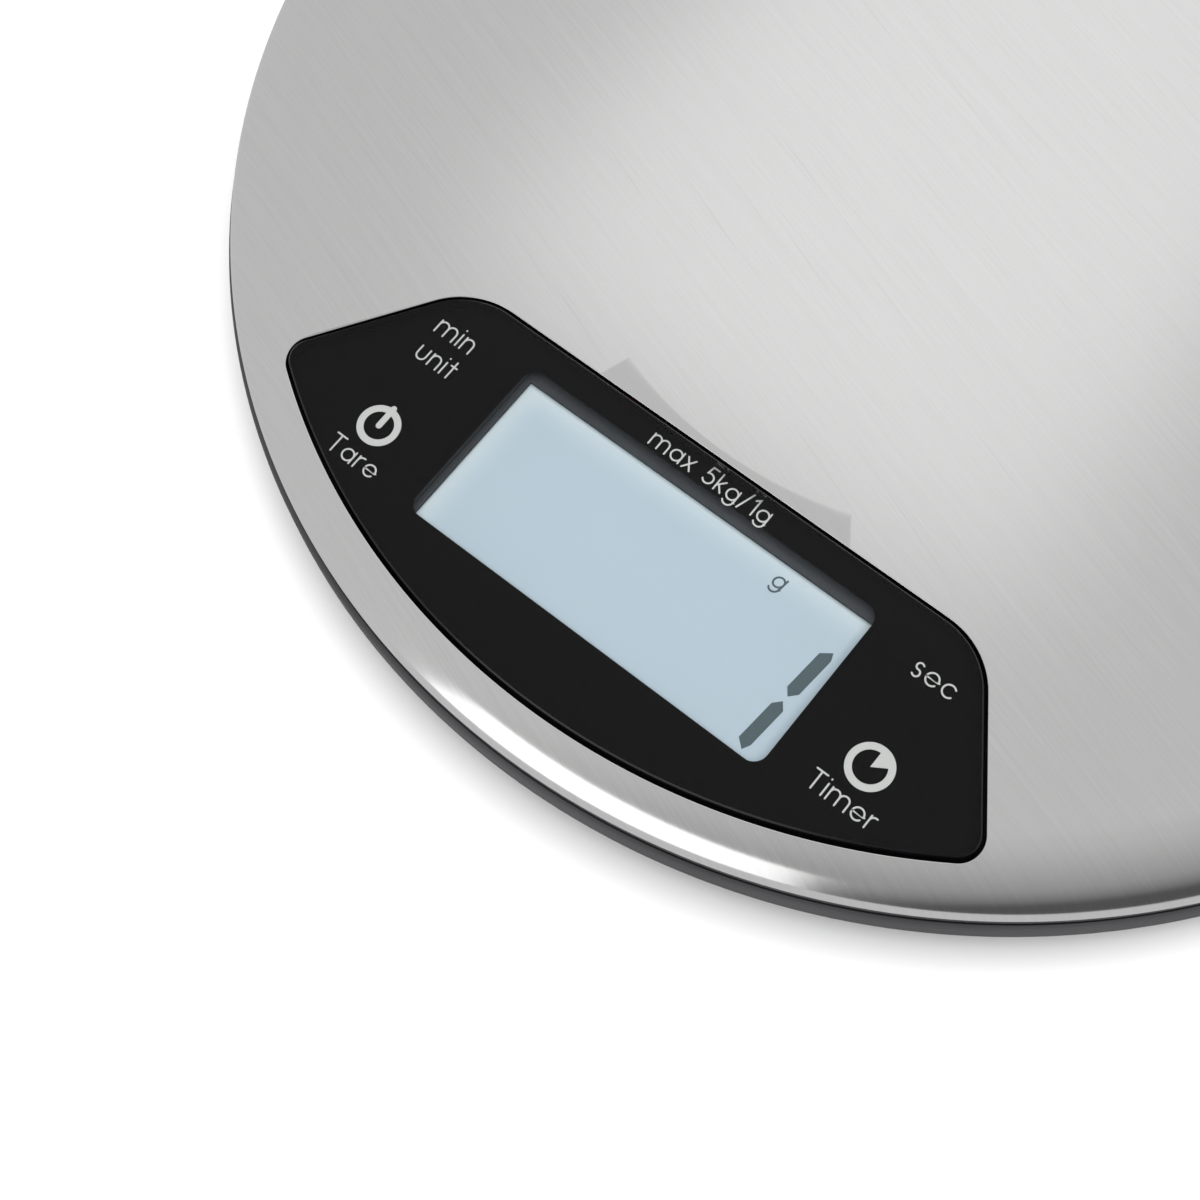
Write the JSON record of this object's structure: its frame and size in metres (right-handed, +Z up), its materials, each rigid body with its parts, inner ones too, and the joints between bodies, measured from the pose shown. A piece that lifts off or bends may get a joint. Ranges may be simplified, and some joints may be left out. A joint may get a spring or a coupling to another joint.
{
  "type": "kitchen scale",
  "caption": "Round electronic kitchen scale with a floating stainless steel platform, an inset black touch display panel and a shallow plastic base on rubber feet.",
  "frame": {"origin": "centre of the round base, on the surface the feet stand on", "axes": "+Z up, the display panel at -Y, so that its legends read with +X to the right"},
  "size_m": [0.2266, 0.2266, 0.02],
  "materials": {
    "platform_steel": "stainless steel with a fine straight grain",
    "base_plastic": "dark grey, finely textured ABS",
    "carrier_plastic": "dark grey moulded ABS",
    "inner_plastic": "black moulded plastic",
    "lens_black": "polished acrylic printed black on its underside, with a clear window",
    "lcd_glass": "reflective liquid-crystal panel, pale blue-grey",
    "foot_rubber": "soft black rubber",
    "cell_aluminium": "milled",
    "screw_steel": "zinc plated",
    "coin_steel": "nickel plated can",
    "contact_metal": "nickel and gold toned spring metal",
    "circuit_board": "green solder resist",
    "crystal_can": "plain can",
    "seal": "white silicone",
    "foam": "black adhesive foam",
    "wire_grey": "grey sleeve",
    "wire_black": "black sleeve",
    "wire_red": "red sleeve"
  },
  "bodies": {
    "base": {"base_shell": "base_plastic", "foot_front_left": "foot_rubber", "foot_front_right": "foot_rubber", "foot_rear_left": "foot_rubber", "foot_rear_right": "foot_rubber", "load_cell": "cell_aluminium", "load_cell_seal_top": "seal", "load_cell_seal_bottom": "seal", "load_cell_base_screw_1": "screw_steel", "load_cell_base_screw_2": "screw_steel", "overload_stop_screw": "screw_steel", "coin_cell": "coin_steel", "battery_contact_negative": "contact_metal", "battery_contact_positive": "contact_metal", "load_cell_cable": "wire_grey", "battery_lead_negative": "wire_black", "battery_lead_positive": "wire_red", "display_lens": "lens_black", "lens_gasket": "foam", "display_frame": "inner_plastic", "lcd_panel": "lcd_glass", "lcd_bezel": "inner_plastic", "elastomer_strip_front": "foot_rubber", "elastomer_strip_rear": "foot_rubber", "main_pcb": "circuit_board", "processor_cover": "inner_plastic", "converter_chip": "inner_plastic", "clock_crystal": "crystal_can", "smoothing_capacitor": "inner_plastic", "piezo_buzzer": "inner_plastic", "touch_spring_unit": "contact_metal", "touch_spring_tare": "contact_metal", "touch_spring_second": "contact_metal", "touch_spring_timer": "contact_metal", "frame_screw_1": "screw_steel", "frame_screw_2": "screw_steel", "frame_screw_3": "screw_steel", "frame_screw_4": "screw_steel", "pcb_screw_1": "screw_steel", "pcb_screw_2": "screw_steel", "pcb_screw_3": "screw_steel", "pcb_screw_4": "screw_steel"},
    "platform": {"platform_plate": "platform_steel", "platform_tape": "foam", "platform_carrier": "carrier_plastic", "load_cell_spacer": "screw_steel", "load_cell_top_screw_1": "screw_steel", "load_cell_top_screw_2": "screw_steel"},
    "battery_door": {"battery_door": "base_plastic"}
  },
  "joints": [
    {"name": "platform_sink", "type": "slide", "parent": "base", "child": "platform", "axis": [0, 0, -1], "range_m": [0, 0.0005], "stiffness_N_per_m": 100000, "deforming": ["load_cell"]},
    {"name": "battery_door_hinge", "type": "hinge", "parent": "base", "child": "battery_door", "pos_m": [0, 0.0493, 0.0016], "axis": [-1, 0, 0], "range_deg": [0, 75]}
  ]
}
